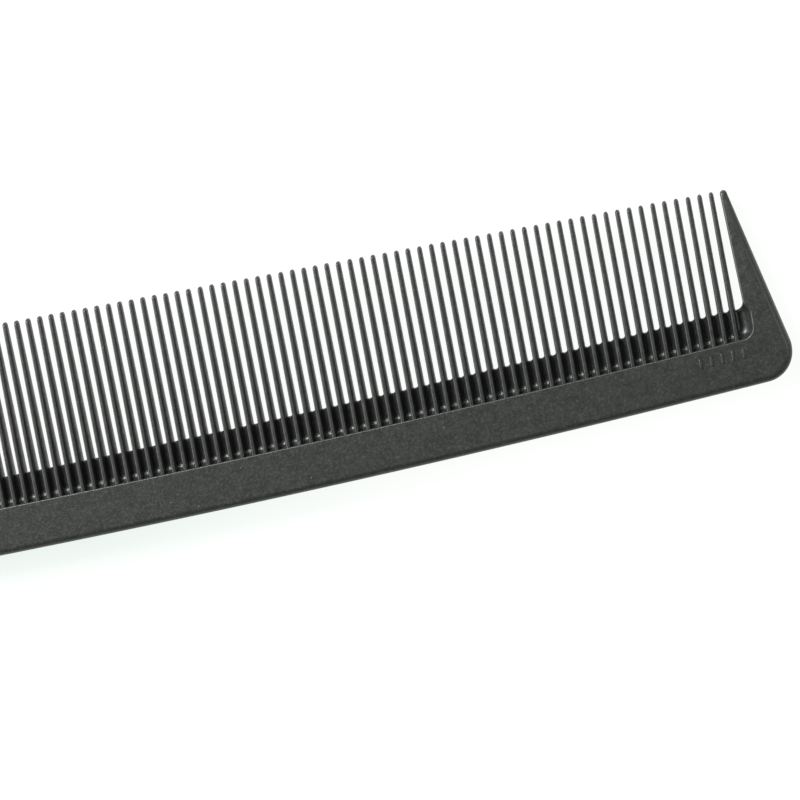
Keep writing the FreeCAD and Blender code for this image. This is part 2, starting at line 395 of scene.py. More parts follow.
def recess_wall(u, t):
    """Distance from the line where the wall of an end recess meets the face."""
    beside = recess_side(t) - u
    if beside < RECESS_RADIUS and t < RECESS_RADIUS:
        return RECESS_RADIUS - math.hypot(RECESS_RADIUS - beside, RECESS_RADIUS - t)
    return min(beside, t)


def end_web_ring(x, u):
    """Closed loop across the web between an end tooth and its guard."""
    y_low = shoulder_y(x)
    over = min(GAP_CORNER, max(0.0, u - (GUARD_GAP_ROOT - GAP_CORNER)))
    rise = GAP_CORNER - math.sqrt(GAP_CORNER ** 2 - over ** 2)
    near = max(0.0, END_RISE_FROM - u) / END_RISE_WIDTH
    rise = max(rise, WEB_SIDE_RISE * min(1.0, near) ** 3)
    length = WEB_HEIGHT + rise - WEB_LIP
    rows = list(GROOVE_ROWS)
    rows += [mix(rows[-1], length, step / 9.0) for step in range(1, 10)]
    tooth_side = hollow(u - PITCH / 2.0 + GROOVE_RADIUS, GROOVE_RADIUS)
    front = []
    for t in rows:
        z = web_floor(t) + tooth_side + hollow(recess_wall(u, t), COVE_RADIUS)
        front.append((y_low + t, min(z, RECESS_CEILING)))
    return close_web(x, front, y_low + length)


def make_end_web(x_tooth, side):
    rings = []
    columns = 34
    for column in range(columns + 1):
        u = mix(WEB_INSET, RECESS_REACH + 0.1, column / columns)
        rings.append(end_web_ring(x_tooth + side * u, u))
    return skin(rings)


def make_root_web():
    parts = make_webs()
    parts.append(make_end_web(ROW, 1.0))
    parts.append(make_end_web(0.0, -1.0))
    return make_object("root_webs", *merge(parts))


# ---------------------------------------------------------------------------
# Spine: a bar swept along the back, rounded at the back, crisp at the shoulder
# ---------------------------------------------------------------------------

SPINE_END = 0.72                # beyond the end teeth, where the guards start
PARTING_WIDTH = 0.07
PARTING_FOOT = 0.05             # half the parting line's width at its foot, on the guards
PARTING_HEIGHT = 0.02


def spine_section():
    """Half section from the parting line on the back to the shoulder's mid-plane:
    inset from the back edge and half thickness."""
    points = [(0.0, 0.0), (PARTING_HEIGHT, PARTING_WIDTH / 2.0)]
    flat = HALF - EDGE_ROUNDING
    points.append((PARTING_HEIGHT, flat * 0.5))
    steps = 10
    for step in range(steps + 1):
        angle = math.pi / 2.0 * step / steps
        points.append((PARTING_HEIGHT + EDGE_ROUNDING * (1.0 - math.cos(angle)),
                       flat + EDGE_ROUNDING * math.sin(angle)))
    points.append((PARTING_HEIGHT + EDGE_ROUNDING + 0.05, HALF))
    points.append((SPINE_HEIGHT / 2.0, HALF))
    points.append((SPINE_HEIGHT - SHOULDER_ROUNDING - 0.04, HALF))
    steps = 5
    for step in range(steps + 1):
        angle = math.pi / 2.0 * step / steps
        points.append((SPINE_HEIGHT - SHOULDER_ROUNDING * (1.0 - math.sin(angle)),
                       HALF - SHOULDER_ROUNDING * (1.0 - math.cos(angle))))
    points.append((SPINE_HEIGHT, HALF * 0.4))
    return points


def make_spine():
    section = spine_section()
    loop = section + [(inset, -z) for inset, z in reversed(section[1:])]
    rings = []
    steps = 160
    for step in range(steps + 1):
        x = mix(-SPINE_END, ROW + SPINE_END, step / steps)
        rings.append([(x, back_y(x, inset), z) for inset, z in loop])
    return make_object("spine_bar", *merge([skin(rings)] + make_marks()))


# ---------------------------------------------------------------------------
# Moulded marks: short plain bars that stand proud of the spine's upper face
# ---------------------------------------------------------------------------

MARK_COUNT = 5
MARK_PITCH = 1.3
MARK_LENGTH = 1.2
MARK_WIDTH = 0.35
MARK_HEIGHT = 0.1
MARK_CORNER = 0.12
MARK_BEFORE_LAST_TOOTH = 4.7
MARK_ABOVE_BACK = 4.1


def make_marks():
    parts = []
    for index in range(MARK_COUNT):
        x = ROW - MARK_BEFORE_LAST_TOOTH + index * MARK_PITCH
        y = back_y(x) + MARK_ABOVE_BACK
        rings = []
        for inset, z in ((0.0, HALF - 0.05), (0.0, HALF + 0.01), (0.02, HALF + MARK_HEIGHT * 0.7),
                         (0.05, HALF + MARK_HEIGHT * 0.95), (0.1, HALF + MARK_HEIGHT)):
            ring = []
            half_w = MARK_WIDTH / 2.0 - inset
            half_l = MARK_LENGTH / 2.0 - inset
            bend = min(MARK_CORNER, half_w * 0.9)
            for number, (sx, sy) in enumerate(((1, 1), (-1, 1), (-1, -1), (1, -1))):
                for step in range(5):
                    angle = math.pi / 2.0 * (number + step / 4.0)
                    ring.append((x + sx * (half_w - bend) + bend * math.cos(angle),
                                 y + sy * (half_l - bend) + bend * math.sin(angle), z))
            rings.append(ring)
        parts.append(skin(rings))
    return parts


# ---------------------------------------------------------------------------
# Guards: grids of points between an outer and an inner edge, mirrored to the back
# ---------------------------------------------------------------------------

TOE_LEAN = math.radians(13.0)
TOE_CORNER_RADIUS = 3.65
HEEL_LEAN = math.radians(14.0)
HEEL_SWEEP_RADIUS = 5.0
NECK_ROOT_HEIGHT = 8.5
GUARD_TOP = -0.45               # where a guard's sides end and its rounded tip starts
TOE_SPLIT = 1.2                 # above the web, where the toe guard's upper rows start
RIM_SHARE = 0.4                 # widest outer rounding, as a share of a guard's width
BEVEL_SHARE = 0.28              # widest inner rounding, likewise
RIM_MARGIN = 0.06               # from the outer rounding to the face's first points
BEVEL_MARGIN = 0.05             # from the inner rounding to the face's last points
RIM_STEPS = 8
INNER_STEPS = 4
FACE_SHARES = (0.0, 0.12, 0.3, 0.5, 0.7, 0.88, 1.0)


def guard_half(y):
    """Half thickness of a guard: the spine's up to the web, then a long curve to its tip."""
    y_break = web_top_y(ROW / 2.0)
    if y <= y_break:
        return HALF
    drop = HALF - TIP_HALF
    radius = (y_break ** 2 + drop ** 2) / (2.0 * drop)
    y = min(y, 0.0)
    return HALF - radius + math.sqrt(radius ** 2 - (y - y_break) ** 2)


def face_row(start, inner, into, bevel, height):
    """Points over the flat face from start, then over the rounding of the inner edge."""
    end = inner + into * (bevel + BEVEL_MARGIN)
    row = []
    for share in FACE_SHARES:
        at = start.lerp(end, share)
        row.append((at.x, at.y, height(at.y)))
    for step in range(INNER_STEPS + 1):
        angle = math.pi / 2.0 * (1.0 - step / INNER_STEPS)
        at = inner + into * bevel * (1.0 - math.cos(angle))
        row.append((at.x, at.y, height(at.y) - bevel * (1.0 - math.sin(angle))))
    return row


def grid_row(outer, inward, inner, into, rim, bevel, height):
    """Points from an outer edge point to an inner one. The vectors inward and into point
    from those edges into the moulding; rim and bevel are the two edge roundings."""
    row = []
    for step in range(RIM_STEPS + 1):
        angle = math.pi / 2.0 * step / RIM_STEPS
        at = outer + inward * (PARTING_HEIGHT + rim * (1.0 - math.cos(angle)))
        row.append((at.x, at.y, height(at.y) - rim * (1.0 - math.sin(angle))))
    start = outer + inward * (PARTING_HEIGHT + rim + RIM_MARGIN)
    return row + face_row(start, inner, into, bevel, height)


def pillow(rows, outward):
    """Closed skin of a front grid, the same grid mirrored to the back, and the wall
    between them, which carries the parting line along the outer edge."""
    high, wide = len(rows), len(rows[0])
    points = [p for row in rows for p in row]
    points += [(x, y, -z) for x, y, z in points]
    back = high * wide
    faces = []
    for i in range(high - 1):
        for j in range(wide - 1):
            quad = [i * wide + j, i * wide + j + 1, (i + 1) * wide + j + 1, (i + 1) * wide + j]
            faces.append(tuple(quad))
            faces.append(tuple(back + k for k in reversed(quad)))
    rim = [i * wide for i in range(high)]
    rim += [(high - 1) * wide + j for j in range(1, wide)]
    rim += [i * wide + wide - 1 for i in range(high - 2, -1, -1)]
    rim += [j for j in range(wide - 2, 0, -1)]
    loops = [rim]
    crest = PARTING_WIDTH / 2.0
    for z, bulge in ((PARTING_FOOT, 0.0), (crest, 1.0), (-crest, 1.0), (-PARTING_FOOT, 0.0)):
        loop = []
        for number, k in enumerate(rim):
            x, y, top = points[k]
            on_outer_edge = number < high
            step = outward[number] * PARTING_HEIGHT * bulge if on_outer_edge else Vector((0, 0))
            loop.append(len(points))
            points.append((x + step.x, y + step.y, z * min(1.0, top / 0.1)))
        loops.append(loop)
    loops.append([back + k for k in rim])
    count = len(rim)
    for upper, lower in zip(loops, loops[1:]):
        for k in range(count):
            n = (k + 1) % count
            faces.append((upper[k], lower[k], lower[n], upper[n]))
    return points, faces


def circle_meet(start, along, radius):
    """Where a line from start meets the circle of that radius about the back's centre."""
    offset = start - BACK_CENTRE
    b = offset.dot(along)
    c = offset.dot(offset) - radius ** 2
    return start + along * (-b + math.sqrt(b ** 2 - c))


def spread(points, count):
    """Evenly spaced points along a polyline."""
    lengths = [0.0]
    for a, b in zip(points, points[1:]):
        lengths.append(lengths[-1] + (b - a).length)
    found = []
    k = 0
    for number in range(count):
        target = lengths[-1] * number / (count - 1)
        while k < len(points) - 2 and lengths[k + 1] < target:
            k += 1
        span = max(lengths[k + 1] - lengths[k], 1e-9)
        found.append(points[k].lerp(points[k + 1], min(1.0, (target - lengths[k]) / span)))
    return found


def turned(points):
    """Unit normals to the left of a polyline's direction, at each of its points."""
    normals = []
    for k in range(len(points)):
        a = points[max(0, k - 1)]
        b = points[min(len(points) - 1, k + 1)]
        along = (b - a).normalized()
        normals.append(Vector((-along.y, along.x)))
    return normals


def inner_line(side, x_tooth):
    """Edge of a guard towards the teeth, from the shoulder up to the guard's top."""
    line = []
    steps = 18
    for step in range(steps + 1):
        angle = math.pi / 2.0 * step / steps
        u = RECESS_REACH - RECESS_RADIUS + RECESS_RADIUS * math.sin(angle)
        t = RECESS_RADIUS - RECESS_RADIUS * math.cos(angle)
        if u >= SPINE_END:
            line.append((u, t))
    line.insert(0, (SPINE_END, 0.0))
    steps = 30
    for step in range(1, steps + 1):
        t = mix(RECESS_RADIUS, RECESS_TOP, step / steps)
        line.append((recess_reach(t), t))
    points = [Vector((x_tooth + side * u, shoulder_y(x_tooth + side * u) + t)) for u, t in line]
    root = points[-1]
    top = Vector((x_tooth + side * GUARD_GAP_TIP, 0.0))
    steps = 24
    for step in range(1, steps + 1):
        at = root.lerp(top, step / steps)
        points.append(at if at.y < GUARD_TOP else root.lerp(top, (GUARD_TOP - root.y) / (top.y - root.y)))
    return points


def tip_rows(low_outer, low_inner, side):
    """Rounded tip above the last full row of a guard."""
    rows = []
    outward = []
    middle = (low_outer + low_inner) / 2.0
    half = (low_outer - low_inner).length / 2.0
    radius = -middle.y - PARTING_HEIGHT
    steps = 8
    for step in range(1, steps + 1):
        angle = math.radians(87) * step / steps
        shrink = math.cos(angle)
        y = middle.y + radius * math.sin(angle)
        outer = Vector((middle.x + side * half * shrink, y))
        inner = Vector((middle.x - side * half * shrink, y))
        level = guard_half(y) * max(0.08, shrink ** 0.7)
        rim = min(RIM_SHARE * 2.0 * half * shrink, level * 0.75)
        bevel = min(BEVEL_SHARE * 2.0 * half * shrink, level * 0.5)
        inward = Vector((-side, 0.0))
        row = grid_row(outer, inward, inner, -inward, rim, bevel, lambda _y: level)
        keep = PARTING_HEIGHT * (1.0 - shrink)
        rows.append([(x + side * keep, y, z) for x, y, z in row])
        outward.append(Vector((side * math.cos(angle), math.sin(angle))))
    return rows, outward


def guard_rows(outer, inward, inner, into, plain=()):
    """Rows between matching points of the outer and the inner edge. Rows numbered in
    plain end on an inner plane of the moulding, so they carry no rim."""
    rows = []
    for k in range(len(outer)):
        height = guard_half(outer[k].y)
        width = (outer[k] - inner[k]).length
        rim = min(EDGE_ROUNDING, RIM_SHARE * width, 0.75 * height)
        bevel = min(0.12 + 0.10 * smooth((inner[k].y + 18.0) / 3.0), BEVEL_SHARE * width)
        if k in plain:
            end = inner[k] + into[k] * (bevel + BEVEL_MARGIN)
            start = outer[k] + (end - outer[k]).normalized() * RIM_MARGIN
            row = [(outer[k].x, outer[k].y, HALF)] * (RIM_STEPS + 1)
            rows.append(row + face_row(start, inner[k], into[k], bevel, guard_half))
        else:
            rows.append(grid_row(outer[k], inward[k], inner[k], into[k], rim, bevel, guard_half))
    return rows


def straight_side(last, x_tip, steps):
    """Points after last on the line to the tip's corner, up to the guard's top."""
    rise = Vector((x_tip, 0.0)) - last
    return [last + rise * (step / steps) * ((GUARD_TOP - last.y) / rise.y) for step in range(1, steps + 1)]


def make_toe_guard():
    outward = Vector((math.cos(TOE_LEAN), math.sin(TOE_LEAN)))
    along = Vector((math.sin(TOE_LEAN), -math.cos(TOE_LEAN)))
    x_tip = ROW + GUARD_GAP_TIP + GUARD_TIP_WIDTH
    start = Vector((x_tip, 0.0)) - outward * TOE_CORNER_RADIUS
    centre = circle_meet(start, along, BACK_RADIUS - TOE_CORNER_RADIUS)
    to_back = (centre - BACK_CENTRE).normalized()
    outer = []
    x_meet = (centre + to_back * TOE_CORNER_RADIUS).x
    steps = 6
    for step in range(steps):
        x = mix(ROW + SPINE_END, x_meet, step / steps)
        outer.append(Vector((x, back_y(x))))
    first = math.atan2(to_back.y, to_back.x)
    steps = 26
    for step in range(steps + 1):
        angle = mix(first, TOE_LEAN, step / steps)
        outer.append(centre + Vector((math.cos(angle), math.sin(angle))) * TOE_CORNER_RADIUS)
    low_count = len(outer)
    outer += straight_side(outer[-1], x_tip, 30)
    line = inner_line(1.0, ROW)
    low = [p for p in line if p.y < web_top_y(ROW) + TOE_SPLIT]
    high = [p for p in line if p.y >= low[-1].y]
    inner = spread(low, low_count) + spread(high, len(outer) - low_count + 1)[1:]
    inward = turned(outer)
    inward[0] = Vector((0.0, 1.0))
    into = [-n for n in turned(inner)]
    into[0] = Vector((0.0, -1.0))
    rows = guard_rows(outer, inward, inner, into)
    tips, tip_outward = tip_rows(outer[-1], inner[-1], 1.0)
    directions = [-n for n in inward] + tip_outward
    return make_object("toe_end_guard", *pillow(rows + tips, directions))


def heel_sweep():
    """Centre of the arc between the heel guard and the neck, and that arc's lowest y."""
    x_tip = -GUARD_GAP_TIP - GUARD_TIP_WIDTH
    y_neck = -HEEL_BLADE_WIDTH + NECK_ROOT_HEIGHT
    y = y_neck + HEEL_SWEEP_RADIUS
    x = x_tip + y * math.tan(HEEL_LEAN) - HEEL_SWEEP_RADIUS / math.cos(HEEL_LEAN)
    return Vector((x, y)), y_neck


def make_heel_guard():
    centre, y_neck = heel_sweep()
    x_tip = -GUARD_GAP_TIP - GUARD_TIP_WIDTH
    y_back = back_y(centre.x)
    outer, inward, plain = [], [], []
    steps = 8
    for step in range(steps + 1):
        x = mix(-SPINE_END, centre.x, step / steps)
        outer.append(Vector((x, back_y(x))))
        inward.append(Vector((0.0, 1.0)))
    clear = PARTING_HEIGHT + EDGE_ROUNDING + RIM_MARGIN
    steps = 8
    for step in range(steps + 1):
        plain.append(len(outer))
        outer.append(Vector((centre.x, mix(y_back + clear, y_neck - clear, step / steps))))
        inward.append(Vector((1.0, 0.0)))
    low_count = len(outer)
    steps = 20
    for step in range(steps + 1):
        angle = mix(-math.pi / 2.0, -HEEL_LEAN, step / steps)
        away = Vector((math.cos(angle), math.sin(angle)))
        outer.append(centre + away * HEEL_SWEEP_RADIUS)
        inward.append(away)
    side = straight_side(outer[-1], x_tip, 26)
    outer += side
    inward += [Vector((math.cos(HEEL_LEAN), -math.sin(HEEL_LEAN)))] * len(side)
    line = inner_line(-1.0, 0.0)
    low = [p for p in line if p.y < web_top_y(0.0)]
    high = [p for p in line if p.y >= low[-1].y]
    inner = spread(low, low_count) + spread(high, len(outer) - low_count + 1)[1:]
    into = turned(inner)
    into[0] = Vector((0.0, -1.0))
    rows = guard_rows(outer, inward, inner, into, plain)
    tips, tip_outward = tip_rows(outer[-1], inner[-1], -1.0)
    directions = [-n for n in inward] + tip_outward
    return make_object("heel_end_guard", *pillow(rows + tips, directions))


# ---------------------------------------------------------------------------
# Neck and tail pin
# ---------------------------------------------------------------------------

NECK_LENGTH = (neck_high.x - neck_low.x) / MM
NECK_END_DIAMETER = 4.0
NECK_END_ROUNDING = 0.4
PIN_RADIUS = (pin_high.y - pin_low.y) / MM / 2.0
PIN_SHANK_LENGTH = 17.5
PIN_STRAIGHT_LENGTH = 24.0
PIN_EXPOSED_LENGTH = 84.0
PIN_POINT_RADIUS = 0.65
PIN_END_BEVEL = 0.15
BORE_CLEARANCE = 0.02
KEY_GROOVE_COUNT = 3
KEY_GROOVE_WIDTH = 1.2
KEY_GROOVE_DEPTH = 0.25
KEY_GROOVE_PITCH = 3.6
CORNER_STEPS = 8
PIN_SIDES = 40


def tail_axis_y():
    centre, y_neck = heel_sweep()
    return (back_y(centre.x) + y_neck) / 2.0


def rounded_ring(x, y, half_height, half_thickness, radius):
    """Rounded rectangle across the tail."""
    ring = []
    corners = ((1, 1), (-1, 1), (-1, -1), (1, -1))
    for number, (sy, sz) in enumerate(corners):
        for step in range(CORNER_STEPS + 1):
            angle = math.pi / 2.0 * (number + step / CORNER_STEPS)
            ring.append((x, y + sy * (half_height - radius) + radius * math.cos(angle),
                         sz * (half_thickness - radius) + radius * math.sin(angle)))
    return ring


def make_neck():
    centre, y_neck = heel_sweep()
    axis = tail_axis_y()
    root = (y_neck - back_y(centre.x)) / 2.0 - PARTING_HEIGHT
    end = NECK_END_DIAMETER / 2.0 - PARTING_HEIGHT
    end_radius = end - 0.05
    rings = []
    steps = 40
    for step in range(steps + 1):
        share = step / steps * (1.0 - NECK_END_ROUNDING / NECK_LENGTH)
        blend = (1.0 - math.cos(math.pi * share)) / 2.0
        rings.append(rounded_ring(centre.x - NECK_LENGTH * share, axis, mix(root, end, blend),
                                  mix(HALF, NECK_END_DIAMETER / 2.0, blend),
                                  mix(EDGE_ROUNDING, end_radius, share)))
    x_mouth = centre.x - NECK_LENGTH
    for step in range(1, 7):
        angle = math.pi / 2.0 * step / 6.0
        inset = NECK_END_ROUNDING * (1.0 - math.cos(angle))
        rings.append(rounded_ring(x_mouth + NECK_END_ROUNDING * (1.0 - math.sin(angle)), axis,
                                  end - inset, NECK_END_DIAMETER / 2.0 - inset, end_radius - inset))
    bore = PIN_RADIUS + BORE_CLEARANCE
    for x, radius in ((0.0, bore + 0.16), (0.05, bore + 0.06), (0.16, bore), (0.5, bore),
                      (PIN_SHANK_LENGTH + 0.05, bore)):
        rings.append(rounded_ring(x_mouth + x, axis, radius, radius, radius * 0.999))
    return make_object("tail_neck_moulding", *skin(rings))


def make_pin():
    centre, _ = heel_sweep()
    axis = tail_axis_y()
    x_mouth = centre.x - NECK_LENGTH
    x_inner = x_mouth + PIN_SHANK_LENGTH
    x_point = x_mouth - PIN_EXPOSED_LENGTH
    bevel = PIN_END_BEVEL
    profile = [(x_inner, PIN_RADIUS - bevel), (x_inner - bevel * 0.3, PIN_RADIUS - bevel * 0.3),
               (x_inner - bevel, PIN_RADIUS)]
    floor = PIN_RADIUS - KEY_GROOVE_DEPTH
    for number in range(KEY_GROOVE_COUNT):
        x = x_inner - KEY_GROOVE_PITCH * (number + 0.5)
        far = x - KEY_GROOVE_WIDTH
        profile += [(x + 0.02, PIN_RADIUS), (x - KEY_GROOVE_DEPTH, floor),
                    (far + KEY_GROOVE_DEPTH, floor), (far - 0.02, PIN_RADIUS)]
    x_taper = x_mouth - PIN_STRAIGHT_LENGTH
    steps = 10
    low = profile[-1][0]
    for step in range(1, steps + 1):
        profile.append((mix(low, x_taper, step / steps), PIN_RADIUS))
    x_round = x_point + PIN_POINT_RADIUS
    steps = 24
    for step in range(1, steps + 1):
        profile.append((mix(x_taper, x_round, step / steps),
                        mix(PIN_RADIUS, PIN_POINT_RADIUS, step / steps)))
    steps = 10
    for step in range(1, steps):
        angle = math.pi / 2.0 * step / steps
        profile.append((x_round - PIN_POINT_RADIUS * math.sin(angle),
                        PIN_POINT_RADIUS * math.cos(angle)))
    rings = []
    sides = PIN_SIDES
    for x, radius in profile:
        rings.append([(x, axis + radius * math.cos(math.tau * k / sides),
                       radius * math.sin(math.tau * k / sides)) for k in range(sides)])
    points, faces = skin(rings)
    tip = len(points)
    points.append((x_point, axis, 0.0))
    start = (len(rings) - 1) * sides
    faces = faces[:-1] + [(start + k, start + (k + 1) % sides, tip) for k in range(sides)]
    return make_object("tail_pin_steel", points, faces)


# ---------------------------------------------------------------------------
# Materials
# ---------------------------------------------------------------------------

def node(tree, kind, **values):
    """New node with its inputs, or else its own settings, set by name."""
    made = tree.nodes.new(kind)
    for name, value in values.items():
        if name in made.inputs:
            made.inputs[name].default_value = value
        else:
            setattr(made, name, value)
    return made


def noise(tree, coordinates, size, detail=2.0, roughness=0.5):
    """Noise whose features are about size millimetres across."""
    made = node(tree, "ShaderNodeTexNoise", Scale=1.0 / (size * MM), Detail=detail, Roughness=roughness)
    tree.links.new(coordinates, made.inputs["Vector"])
    return made.outputs["Fac"]


def ramp(tree, value, low, high, out_low=0.0, out_high=1.0):
    """Smooth step of a value from one range to another."""
    made = node(tree, "ShaderNodeMapRange", interpolation_type="SMOOTHSTEP")
    tree.links.new(value, made.inputs["Value"])
    for name, number in (("From Min", low), ("From Max", high), ("To Min", out_low), ("To Max", out_high)):
        made.inputs[name].default_value = number
    return made.outputs["Result"]


def maths(tree, operation, a, b):
    made = node(tree, "ShaderNodeMath", operation=operation)
    for socket, value in zip(made.inputs, (a, b)):
        if isinstance(value, (int, float)):
            socket.default_value = value
        else:
            tree.links.new(value, socket)
    return made.outputs[0]


def blend_colour(tree, share, a, b):
    made = node(tree, "ShaderNodeMix", data_type="RGBA")
    sockets = [s for s in made.inputs if s.type == "RGBA"]
    for socket, value in zip(sockets, (a, b)):
        if isinstance(value, tuple):
            socket.default_value = value
        else:
            tree.links.new(value, socket)
    tree.links.new(share, made.inputs["Factor"])
    return [s for s in made.outputs if s.type == "RGBA"][0]


def new_material(name):
    material = bpy.data.materials.new(name)
    material.use_nodes = True
    tree = material.node_tree
    shader = tree.nodes["Principled BSDF"]
    coordinates = tree.nodes.new("ShaderNodeTexCoord").outputs["Object"]
    return material, tree, shader, coordinates


def moulding_material(name, polish):
    """Dark grey moulded plastic with a fine spark-eroded grain, slow tone changes,
    pale specks and edges rubbed a little smoother and lighter. Polish takes away from the
    roughness and the grain."""
    material, tree, shader, at = new_material(name)
    links = tree.links
    mottle = ramp(tree, noise(tree, at, 0.9, 3.0, 0.6), 0.3, 0.7)
    cloud = ramp(tree, noise(tree, at, 14.0, 2.0), 0.3, 0.7)
    pits = noise(tree, at, 0.36, 2.0, 0.55)
    grain = noise(tree, at, 0.16, 2.0, 0.6)
    colour = blend_colour(tree, mottle, (0.0135, 0.0155, 0.0138, 1), (0.0165, 0.0185, 0.0168, 1))
    colour = blend_colour(tree, ramp(tree, cloud, 0.0, 1.0, 0.0, 0.5), colour, (0.016, 0.0175, 0.016, 1))
    colour = blend_colour(tree, ramp(tree, pits, 0.56, 0.72, 0.0, 0.5), colour, (0.032, 0.034, 0.031, 1))
    specks = node(tree, "ShaderNodeTexVoronoi", Scale=1.0 / (0.8 * MM), Randomness=1.0)
    links.new(at, specks.inputs["Vector"])
    dot = ramp(tree, specks.outputs["Distance"], 0.07, 0.15, 1.0, 0.0)
    chosen = ramp(tree, noise(tree, at, 1.1), 0.60, 0.68)
    speck = maths(tree, "MULTIPLY", dot, chosen)
    colour = blend_colour(tree, maths(tree, "MULTIPLY", speck, 0.6), colour, (0.13, 0.13, 0.125, 1))
    wear_node = node(tree, "ShaderNodeAttribute", attribute_name="wear")
    rubbed = maths(tree, "MULTIPLY", wear_node.outputs["Fac"], ramp(tree, grain, 0.35, 0.65, 0.4, 1.0))
    colour = blend_colour(tree, maths(tree, "MULTIPLY", rubbed, 0.1), colour, (0.05, 0.052, 0.048, 1))
    links.new(colour, shader.inputs["Base Color"])
    rough = maths(tree, "ADD", ramp(tree, mottle, 0.0, 1.0, 0.38 - polish, 0.43 - polish),
                  ramp(tree, pits, 0.3, 0.7, -0.05, 0.06))
    rough = maths(tree, "SUBTRACT", rough, maths(tree, "MULTIPLY", rubbed, 0.04))
    links.new(rough, shader.inputs["Roughness"])
    height = maths(tree, "ADD", maths(tree, "MULTIPLY", grain, 0.45), maths(tree, "MULTIPLY", pits, 0.55))
    bump = node(tree, "ShaderNodeBump", Strength=0.55 - 13.0 * polish, Distance=0.06 * MM)
    links.new(height, bump.inputs["Height"])
    links.new(bump.outputs["Normal"], shader.inputs["Normal"])
    shader.inputs["IOR"].default_value = 1.5
    return material


def steel_material():
    """Drawn and polished steel wire: fine lines along the pin and small bright scratches."""
    material, tree, shader, at = new_material("pin_steel")
    links = tree.links
    stretch = node(tree, "ShaderNodeMapping", Scale=(0.03, 1.0, 1.0))
    links.new(at, stretch.inputs["Vector"])
    lines = noise(tree, stretch.outputs["Vector"], 0.09, 4.0, 0.6)
    patches = ramp(tree, noise(tree, at, 5.0, 2.0), 0.3, 0.7)
    colour = blend_colour(tree, ramp(tree, lines, 0.35, 0.65), (0.52, 0.52, 0.51, 1), (0.68, 0.68, 0.67, 1))
    colour = blend_colour(tree, ramp(tree, patches, 0.0, 1.0, 0.0, 0.25), colour, (0.50, 0.49, 0.47, 1))
    links.new(colour, shader.inputs["Base Color"])
    rough = maths(tree, "ADD", ramp(tree, lines, 0.3, 0.7, 0.16, 0.30),
                  maths(tree, "MULTIPLY", patches, 0.06))
    links.new(rough, shader.inputs["Roughness"])
    bump = node(tree, "ShaderNodeBump", Strength=0.25, Distance=0.02 * MM)
    links.new(lines, bump.inputs["Height"])
    links.new(bump.outputs["Normal"], shader.inputs["Normal"])
    shader.inputs["Metallic"].default_value = 1.0
    return material


FLOOR_GLOW = 0.965
# Centre and radii of a painted shadow on the floor, beside the back edge of the comb's tail half
PAINTED_SHADOW_CENTRE = (14.0, -28.0)
PAINTED_SHADOW_ALONG = 62.0                # radii of the patch of painted shadow
PAINTED_SHADOW_ACROSS = 8.0


def floor_material():
    """White acrylic light table: pale, matt and glowing from below. Its glow is painted a little dimmer and
    greener beside the back of the comb's tail half, a painted shadow of the comb."""
    material, tree, shader, at = new_material("pale_floor")
    tone = ramp(tree, noise(tree, at, 120.0, 2.0), 0.3, 0.7)
    colour = blend_colour(tree, tone, (0.04, 0.042, 0.04, 1), (0.05, 0.05, 0.05, 1))
    tree.links.new(colour, shader.inputs["Base Color"])
    shader.inputs["Roughness"].default_value = 0.9
    shader.inputs["Specular IOR Level"].default_value = 0.1
    # painted shadow: a soft oval where the floor's glow turns dimmer and greener
    dim_x, dim_y, _ = place(*PAINTED_SHADOW_CENTRE, 0.0)
    across, along = 1.0 / (PAINTED_SHADOW_ACROSS * MM), 1.0 / (PAINTED_SHADOW_ALONG * MM)
    patch = node(tree, "ShaderNodeMapping", Location=(-dim_x * along, -dim_y * across, 0.0),
                 Scale=(along, across, 1.0))
    tree.links.new(at, patch.inputs["Vector"])
    painted_shadow = node(tree, "ShaderNodeTexGradient", gradient_type="SPHERICAL")
    tree.links.new(patch.outputs["Vector"], painted_shadow.inputs["Vector"])
    soft = ramp(tree, painted_shadow.outputs["Fac"], 0.0, 1.0)
    glow = blend_colour(tree, soft, (0.985, 1.0, 0.985, 1), (0.86, 0.925, 0.88, 1))
    tree.links.new(glow, shader.inputs["Emission Color"])
    shader.inputs["Emission Strength"].default_value = FLOOR_GLOW
    return material


# ---------------------------------------------------------------------------
# Build the comb
# ---------------------------------------------------------------------------

plastic = moulding_material("moulded_plastic", 0.0)
groove_plastic = moulding_material("moulded_plastic_grooves", 0.025)
steel = steel_material()

tooth_row = make_teeth()
webs = make_root_web()
spine = make_spine()
toe = make_toe_guard()
heel = make_heel_guard()
neck = make_neck()
pin = make_pin()

for piece, node_name, material, slot_name in (
        (tooth_row, "teeth", plastic, "moulding"),
        (webs, "root_web", groove_plastic, "moulding"),
        (spine, "spine", plastic, "moulding"),
        (toe, "toe_guard", plastic, "moulding"),
        (heel, "heel_guard", plastic, "moulding"),
        (neck, "tail_neck", plastic, "moulding"),
        (pin, "tail_pin", steel, "pin_steel")):
    piece.data.materials.append(material)
    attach(piece, "root")
    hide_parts(node_name)


# ---------------------------------------------------------------------------
# Floor, light and camera
# ---------------------------------------------------------------------------

# In metres
TABLE_MIDDLE = 0.3
TABLE_RADIUS = 1.5
WALL_CURVE = 0.1
WALL_TOP = 0.3
LIGHT_DISTANCE = 0.9
CLIP_START = 0.01
CLIP_END = 20.0

# In millimetres, in the blade's working frame, apart from the angle
TABLE_BELOW = 0.02
LIGHT_AIM = (60.0, -15.0, 0.0)
CAMERA_AT = (105.593, 42.63, 505.89)
CAMERA_AIM = (61.596, -17.655, 0.0)
CAMERA_ROLL = math.radians(-10.863)
SENSOR_WIDTH = 36.0
LENS = 193.5


